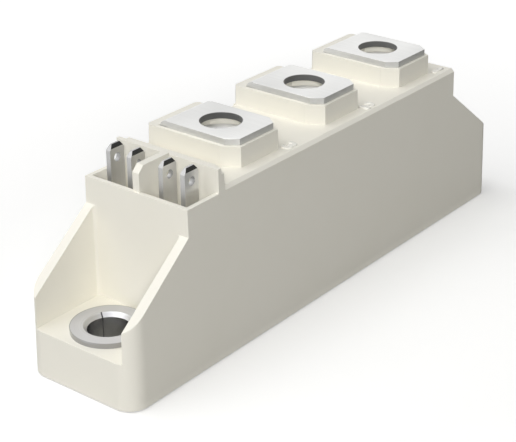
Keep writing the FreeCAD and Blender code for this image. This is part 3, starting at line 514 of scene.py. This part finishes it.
def smooth_shading():
    """A node group that smooths gentle curves and keeps the other edges sharp."""
    group = bpy.data.node_groups.new("smooth_curves", "GeometryNodeTree")
    group.interface.new_socket("Geometry", in_out="INPUT", socket_type="NodeSocketGeometry")
    group.interface.new_socket("Geometry", in_out="OUTPUT", socket_type="NodeSocketGeometry")
    start = add_node(group, "NodeGroupInput")
    angle = add_node(group, "GeometryNodeInputMeshEdgeAngle")
    gentle = add_node(group, "FunctionNodeCompare", {"operation": "LESS_THAN"})
    group.links.new(angle.outputs["Unsigned Angle"], gentle.inputs["A"])
    gentle.inputs["B"].default_value = GENTLE_EDGE
    faces = add_node(group, "GeometryNodeSetShadeSmooth", {"domain": "FACE"}, {
        "Geometry": start.outputs["Geometry"], "Shade Smooth": True})
    edges = add_node(group, "GeometryNodeSetShadeSmooth", {"domain": "EDGE"}, {
        "Geometry": faces.outputs["Geometry"], "Shade Smooth": gentle.outputs["Result"]})
    add_node(group, "NodeGroupOutput", sockets={"Geometry": edges.outputs["Geometry"]})
    return group


def soften(piece, radius):
    """Joins a solid's facets, rounds its sharp edges off and smooths its curves."""
    weld = piece.modifiers.new("weld", "WELD")
    weld.merge_threshold = WELD_GAP
    if radius:
        flatten = piece.modifiers.new("flatten", "DECIMATE")
        flatten.decimate_type = "DISSOLVE"
        flatten.angle_limit = SAME_FACE
        bevel = piece.modifiers.new("soft_edges", "BEVEL")
        bevel.width = radius
        bevel.segments = 2
        bevel.limit_method = "ANGLE"
        bevel.angle_limit = SHARP_EDGE
        bevel.use_clamp_overlap = True
    smooth = piece.modifiers.new("smooth_curves", "NODES")
    smooth.node_group = bpy.data.node_groups.get("smooth_curves") or smooth_shading()
    weigh = piece.modifiers.new("even_faces", "WEIGHTED_NORMAL")
    weigh.keep_sharp = True


def finish_nodes(names, material, radius=0.0):
    """Gives CAD nodes their material, smooth curves and, with a radius, soft edges."""
    for name in names:
        piece = NODES[name]
        piece.data.materials.clear()
        piece.data.materials.append(material)
        soften(piece, radius)


def numbered(stem):
    """The names of the CAD nodes that share a stem, in the order of their numbers."""
    return sorted(name for name in NODES if name.rpartition("_")[0] == stem)


def new_piece(name, mesh, material):
    """A piece of the module that isn't a CAD node, riding on the module's one body."""
    piece = bpy.data.objects.new(name, mesh)
    bpy.context.scene.collection.objects.link(piece)
    piece.data.materials.append(material)
    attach(piece, BODY)


class MODULE_OT_case(bpy.types.Operator):
    """Finishes the moulded case and softens its edges"""

    bl_idname = "module.case"
    bl_label = "Case"

    def execute(self, context):
        """Gives the case its plastic."""
        finishes = context.scene.module_finishes
        material = moulded_pbt("moulded_pbt", finishes.plastic, finishes.plastic_flow,
                               roughness=0.49)
        finish_nodes(["housing"], material, context.scene.module_sizes.case_edge)
        return {"FINISHED"}


def digit_mesh(number, sizes):
    """A raised number with rounded edges as a mesh, its middle at the origin."""
    curve = bpy.data.curves.new(f"number_{number}", "FONT")
    curve.body = str(number)
    curve.size = sizes.digit_height / DIGIT_SHARE
    curve.align_x = "CENTER"
    curve.align_y = "CENTER"
    curve.extrude = sizes.digit_rise - sizes.digit_edge
    curve.bevel_depth = sizes.digit_edge
    curve.bevel_resolution = 2
    curve.offset = sizes.digit_swell
    holder = bpy.data.objects.new(f"number_{number}_holder", curve)
    bpy.context.scene.collection.objects.link(holder)
    bpy.context.view_layer.update()
    mesh = bpy.data.meshes.new_from_object(holder)
    bpy.data.objects.remove(holder)
    return mesh


class MODULE_OT_digits(bpy.types.Operator):
    """Raises the plain numbers 3, 2 and 1 on the deck beside the terminals"""

    bl_idname = "module.digits"
    bl_label = "Terminal numbers"

    def execute(self, context):
        """Places a number beside each terminal, its top away from the gate end."""
        sizes = context.scene.module_sizes
        finishes = context.scene.module_finishes
        # The numbers' paler ivory is a painted highlight.
        material = moulded_pbt("smooth_moulded_pbt", finishes.number, finishes.plastic,
                               roughness=0.25)
        turn = Matrix.Rotation(math.radians(-90), 4, "Z")
        terminals = numbered("terminal")
        for number, name in zip(range(len(terminals), 0, -1), terminals):
            along = node_box(name)[2].x + sizes.digit_offset
            mesh = digit_mesh(number, sizes)
            mesh.transform(Matrix.Translation(
                (along, sizes.digit_place, sizes.deck_height)) @ turn)
            new_piece(f"deck_number_{number}", mesh, material)
        return {"FINISHED"}


def ridge_profile(sizes):
    """The ridge's four corners, each with its radius and its height off the ridge's middle."""
    outer = sizes.thread_bore / 2
    inner = outer - sizes.thread_depth
    half = sizes.thread_pitch * RIDGE_SHARE
    return [(outer, -half), (inner, -half / 4), (inner, half / 4), (outer, half)]


def ridge_rings(shape, middle, low, high, sizes):
    """The ridge's corners, ring after ring, as they climb the bore in a helix."""
    profile = ridge_profile(sizes)
    count = int((high - low) / sizes.thread_pitch * TURN_STEPS)
    rings = []
    for step in range(count + 1):
        angle = 2 * math.pi * step / TURN_STEPS
        level = low + (high - low) * step / count
        rings.append([
            shape.verts.new((middle.x + radius * math.cos(angle),
                             middle.y + radius * math.sin(angle), level + rise))
            for radius, rise in profile])
    return rings


def thread_ridge(middle, low, high, sizes):
    """A helical ridge that climbs the inside of a nut's bore."""
    shape = bmesh.new()
    rings = ridge_rings(shape, middle, low, high, sizes)
    corners = len(rings[0])
    for first, second in zip(rings, rings[1:]):
        for place in range(corners):
            after = (place + 1) % corners
            shape.faces.new((first[place], first[after], second[after], second[place]))
    shape.faces.new(rings[0][::-1])
    shape.faces.new(rings[-1])
    bmesh.ops.recalc_face_normals(shape, faces=shape.faces)
    mesh = bpy.data.meshes.new("thread_ridge")
    shape.to_mesh(mesh)
    shape.free()
    return mesh


class MODULE_OT_terminals(bpy.types.Operator):
    """Finishes the three straps and the nuts under them, and cuts the nuts' threads"""

    bl_idname = "module.terminals"
    bl_label = "Terminals and nuts"

    def execute(self, context):
        """Gives straps and nuts their metals and adds the threads."""
        finishes = context.scene.module_finishes
        sizes = context.scene.module_sizes
        straps, nuts = numbered("terminal"), numbered("terminal_nut")
        first, second = (node_box(name)[2].x for name in straps[:2])
        # The straps' sides are painted darker as a dark reflection, and their holes' walls as
        # shade.
        plate = rolled_metal("nickel_on_rolled_copper", finishes.plate, roughness=0.3,
                             streak=0.5, spread=0.05, direction="Y", axis="Z", cut_side_and_dark_reflection=0.88,
                             punched=(first, second - first, sizes.plate_hole / 2, 0.43))
        steel = zinc_steel(finishes)
        finish_nodes(straps, plate, sizes.sheet_edge)
        finish_nodes(nuts, steel)
        margin = sizes.thread_pitch
        for number, name in enumerate(nuts, 1):
            low, high, middle = node_box(name)
            mesh = thread_ridge(middle, low.z + margin, high.z - margin, sizes)
            new_piece(f"nut_thread_{number}", mesh, steel)
        return {"FINISHED"}


class MODULE_OT_gate_tabs(bpy.types.Operator):
    """Finishes the four plug tabs and the leads under two of them"""

    bl_idname = "module.gate_tabs"
    bl_label = "Gate tabs"

    def execute(self, context):
        """Gives tabs and leads their tinned brass."""
        finishes = context.scene.module_finishes
        # The tabs' sides are painted darker, and their tips' slopes dark, as painted dark
        # reflections.
        tinned = rolled_metal("tin_on_rolled_brass", finishes.tab, roughness=0.3, streak=0.3,
                              spread=0.05, direction="Z", axis="Y", cut_side_and_dark_reflection=0.66,
                              metallic=0.88, dark_tip_reflection=0.12)
        finish_nodes(numbered("gate_tab") + numbered("gate_lead"), tinned)
        return {"FINISHED"}


class MODULE_OT_bushes(bpy.types.Operator):
    """Finishes the two mounting bushes"""

    bl_idname = "module.bushes"
    bl_label = "Mounting bushes"

    def execute(self, context):
        """Gives the bushes their faced nickel."""
        names = ["mounting_bush_gate_end", "mounting_bush_far_end"]
        finish_nodes(names, faced_nickel(context.scene.module_finishes))
        return {"FINISHED"}


class MODULE_OT_base(bpy.types.Operator):
    """Finishes the base plate and the ceramic with its copper"""

    bl_idname = "module.base"
    bl_label = "Base plate and ceramic"

    def execute(self, context):
        """Gives plate, ceramic and tracks their materials."""
        finishes = context.scene.module_finishes
        plated = rolled_metal("nickel_on_copper_plate", finishes.base, roughness=0.34,
                              streak=0.6, spread=0.05)
        finish_nodes(["base_plate"], plated, context.scene.module_sizes.sheet_edge)
        finish_nodes(["ceramic_substrate"], fired_alumina(finishes))
        copper = rolled_metal("bonded_copper", finishes.copper, roughness=0.34, streak=0.4,
                              spread=0.06)
        finish_nodes(["back_copper", "anode_track", "middle_track", "cathode_track",
                      *numbered("gate_pad")], copper)
        return {"FINISHED"}


class MODULE_OT_chips(bpy.types.Operator):
    """Finishes the chips, their contact discs, the clips and the bond wires"""

    bl_idname = "module.chips"
    bl_label = "Chips and clips"

    def execute(self, context):
        """Gives what is sealed inside its materials."""
        finishes = context.scene.module_finishes
        finish_nodes(["thyristor_chip", "diode_chip"], polished_silicon(finishes))
        ground = rolled_metal("ground_molybdenum", finishes.molybdenum, roughness=0.4,
                              streak=0.3, spread=0.06)
        finish_nodes(["thyristor_contact_disc", "diode_contact_disc"], ground)
        clip = rolled_metal("formed_copper_clip", finishes.copper, roughness=0.3, streak=0.4,
                            spread=0.05)
        finish_nodes(["thyristor_link", "diode_link"], clip)
        wire = rolled_metal("drawn_aluminium", finishes.aluminium, roughness=0.3, streak=0.2,
                            spread=0.05)
        finish_nodes(numbered("bond_wire"), wire)
        return {"FINISHED"}


def seen_directly(tree):
    """1 for the eye, for reflections and through glass, and 0 for scattered light."""
    path = add_node(tree, "ShaderNodeLightPath")
    eye = larger_of(tree, path.outputs["Is Camera Ray"], path.outputs["Is Glossy Ray"])
    return larger_of(tree, eye, path.outputs["Is Transmission Ray"])


def floor_light(tree, studio):
    """How much light of its own the floor shows, from place to place."""
    # A touch of it turns the lit floor white and leaves the shadow beside the module. It
    # grows where the lamps fall off, and is the sky's white where none of them reaches.
    distance = add_node(tree, "ShaderNodeVectorMath", {"operation": "LENGTH"})
    tree.links.new(object_place(tree), distance.inputs[0])
    growth = add_node(tree, "ShaderNodeMapRange", sockets={
        "Value": distance.outputs["Value"], "From Min": studio.lift_start,
        "From Max": studio.lift_end, "To Min": studio.floor_lift,
        "To Max": studio.far_lift})
    beyond = add_node(tree, "ShaderNodeMapRange", sockets={
        "Value": distance.outputs["Value"], "From Min": studio.lift_end,
        "From Max": studio.horizon_start, "To Min": growth.outputs["Result"],
        "To Max": studio.horizon_lift})
    return beyond.outputs["Result"]


def floor_paint(studio):
    """Paint that is pale to the eye and in reflections, and duller to scattered light."""
    material = bpy.data.materials.new("pale_floor")
    material.use_nodes = True
    tree = material.node_tree
    tree.nodes.clear()
    paint = add_node(tree, "ShaderNodeBsdfDiffuse", sockets={
        "Color": colour4(studio.floor_colour)})
    light = add_node(tree, "ShaderNodeEmission", sockets={
        "Strength": floor_light(tree, studio)})
    shown = add_node(tree, "ShaderNodeAddShader")
    tree.links.new(paint.outputs[0], shown.inputs[0])
    tree.links.new(light.outputs[0], shown.inputs[1])
    bounce = add_node(tree, "ShaderNodeBsdfDiffuse", sockets={
        "Color": colour4(studio.floor_bounce)})
    choice = add_node(tree, "ShaderNodeMixShader", sockets={"Fac": seen_directly(tree)})
    tree.links.new(bounce.outputs[0], choice.inputs[1])
    tree.links.new(shown.outputs[0], choice.inputs[2])
    output = add_node(tree, "ShaderNodeOutputMaterial")
    tree.links.new(choice.outputs[0], output.inputs["Surface"])
    return material


def level_corners(left, right, front, back, level):
    """The corners of a level rectangle."""
    return [(left, front, level), (right, front, level), (right, back, level),
            (left, back, level)]


def new_sheet(name, corners, material):
    """A flat sheet that belongs to the studio."""
    mesh = bpy.data.meshes.new(name)
    mesh.from_pydata(corners, [], [range(len(corners))])
    mesh.materials.append(material)
    sheet = bpy.data.objects.new(name, mesh)
    bpy.context.scene.collection.objects.link(sheet)
    sheet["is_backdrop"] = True
    return sheet


def add_floor(studio):
    """A wide floor that keeps the module's soft shadow."""
    half = studio.floor_size / 2
    new_sheet("floor", level_corners(-half, half, -half, half, -2 * HAIR),
              floor_paint(studio))


def add_sky(studio):
    """Even light from all round, seen as plain white."""
    world = bpy.data.worlds.new("studio")
    bpy.context.scene.world = world
    world.use_nodes = True
    tree = world.node_tree
    tree.nodes.clear()
    light, white = (
        add_node(tree, "ShaderNodeBackground", sockets={
            "Color": colour4((1, 1, 1)), "Strength": strength})
        for strength in (studio.sky_strength, 1.0))
    choice = add_node(tree, "ShaderNodeMixShader", sockets={"Fac": seen_directly(tree)})
    tree.links.new(light.outputs[0], choice.inputs[1])
    tree.links.new(white.outputs[0], choice.inputs[2])
    output = add_node(tree, "ShaderNodeOutputWorld")
    tree.links.new(choice.outputs[0], output.inputs["Surface"])


def add_lamp(name, place, width, power, mirrored=True):
    """A large square lamp that looks at the module, and that metal mirrors or doesn't."""
    lamp = bpy.data.lights.new(name, "AREA")
    lamp.size = width
    lamp.energy = power
    holder = bpy.data.objects.new(name, lamp)
    holder.location = place
    holder.rotation_euler = (-Vector(place)).to_track_quat("-Z", "Y").to_euler()
    holder.visible_glossy = mirrored
    bpy.context.scene.collection.objects.link(holder)


def matt_paint(name, colour):
    """Plain matt paint for the studio's sheets."""
    return new_finish(name, Base_Color=colour4(colour), Roughness=0.9)[0]


def add_cards(studio):
    """Two cards that only reflections see."""
    low, high = (Vector(corner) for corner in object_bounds())
    # They run on past the module's far end, twice as far as the standing one is away.
    start, end = low.x, high.x + studio.card_reach * 2
    away = low.y - studio.card_reach
    foot, top = MM, studio.card_height
    standing = [(start, away, foot), (end, away, foot), (end, away, top), (start, away, top)]
    lying = level_corners(start, end, away, low.y, foot)
    cards = [
        new_sheet("standing_card", standing,
                  matt_paint("standing_card", studio.standing_card_colour)),
        new_sheet("lying_card", lying, matt_paint("lying_card", studio.lying_card_colour)),
    ]
    for card in cards:
        card.visible_camera = False
        card.visible_diffuse = False
        card.visible_shadow = False


def add_under_sheet(studio):
    """The grey sheet under the module, that shows through its bores as painted shade."""
    low, high = (Vector(corner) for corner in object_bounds())
    inset = 3 * MM
    corners = level_corners(low.x + inset, high.x - inset, low.y + inset, high.y - inset,
                            -HAIR)
    new_sheet("under_module", corners, matt_paint("under_module", studio.under_colour))


def add_camera():
    """The camera where the photograph was taken from, with the photograph's lens."""
    camera = bpy.data.cameras.new("camera")
    camera.sensor_fit = "HORIZONTAL"
    camera.sensor_width = SENSOR_WIDTH
    camera.lens = PHOTO_FOCUS / PHOTO_WIDTH * SENSOR_WIDTH
    camera.clip_start = 0.01
    camera.clip_end = 100
    holder = bpy.data.objects.new("camera", camera)
    right, up = Vector(CAMERA_RIGHT), Vector(CAMERA_UP)
    back = right.cross(up).normalized()
    turn = Matrix((right, up, back)).transposed().to_4x4()
    holder.matrix_world = Matrix.Translation(CAMERA_PLACE) @ turn
    bpy.context.scene.collection.objects.link(holder)
    bpy.context.scene.camera = holder


class MODULE_OT_stage(bpy.types.Operator):
    """Builds the plain studio: floor, sky, lamps and camera"""

    bl_idname = "module.stage"
    bl_label = "Studio"

    def execute(self, context):
        """Builds the studio round the module."""
        studio = context.scene.module_studio
        context.scene.view_settings.view_transform = "Standard"
        add_floor(studio)
        add_sky(studio)
        add_lamp("top_lamp", TOP_LAMP_PLACE, TOP_LAMP_WIDTH, studio.top_lamp_strength)
        add_lamp("end_lamp", END_LAMP_PLACE, END_LAMP_WIDTH, studio.end_lamp_strength)
        add_lamp("front_lamp", FRONT_LAMP_PLACE, FRONT_LAMP_WIDTH,
                 studio.front_lamp_strength, mirrored=False)
        add_cards(studio)
        add_under_sheet(studio)
        add_camera()
        return {"FINISHED"}


OPERATORS = (
    MODULE_OT_case,
    MODULE_OT_digits,
    MODULE_OT_terminals,
    MODULE_OT_gate_tabs,
    MODULE_OT_bushes,
    MODULE_OT_base,
    MODULE_OT_chips,
    MODULE_OT_stage,
)


class MODULE_PT_panel(bpy.types.Panel):
    """Lists the module's pieces, sizes and finishes"""

    bl_idname = "MODULE_PT_panel"
    bl_label = "Thyristor diode module"
    bl_space_type = "VIEW_3D"
    bl_region_type = "UI"
    bl_category = "Module"

    def draw(self, context):
        """Lists the operators first, then what can be changed."""
        for operator in OPERATORS:
            self.layout.operator(operator.bl_idname)
        for group in ("module_finishes", "module_sizes", "module_studio"):
            settings = getattr(context.scene, group)
            box = self.layout.box()
            for name in settings.__annotations__:
                box.prop(settings, name)


CLASSES = (ModuleFinishes, ModuleSizes, ModuleStudio, *OPERATORS, MODULE_PT_panel)


def register():
    """Registers the classes and the scene's settings."""
    for item in CLASSES:
        bpy.utils.register_class(item)
    bpy.types.Scene.module_finishes = PointerProperty(type=ModuleFinishes)
    bpy.types.Scene.module_sizes = PointerProperty(type=ModuleSizes)
    bpy.types.Scene.module_studio = PointerProperty(type=ModuleStudio)


def unregister():
    """Takes the scene's settings and the classes out again."""
    del bpy.types.Scene.module_studio
    del bpy.types.Scene.module_sizes
    del bpy.types.Scene.module_finishes
    for item in reversed(CLASSES):
        bpy.utils.unregister_class(item)


def main():
    """Builds the whole scene."""
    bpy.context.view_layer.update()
    register()
    bpy.ops.module.case()
    bpy.ops.module.digits()
    bpy.ops.module.terminals()
    bpy.ops.module.gate_tabs()
    bpy.ops.module.bushes()
    bpy.ops.module.base()
    bpy.ops.module.chips()
    bpy.ops.module.stage()


if __name__ == "__main__":
    main()
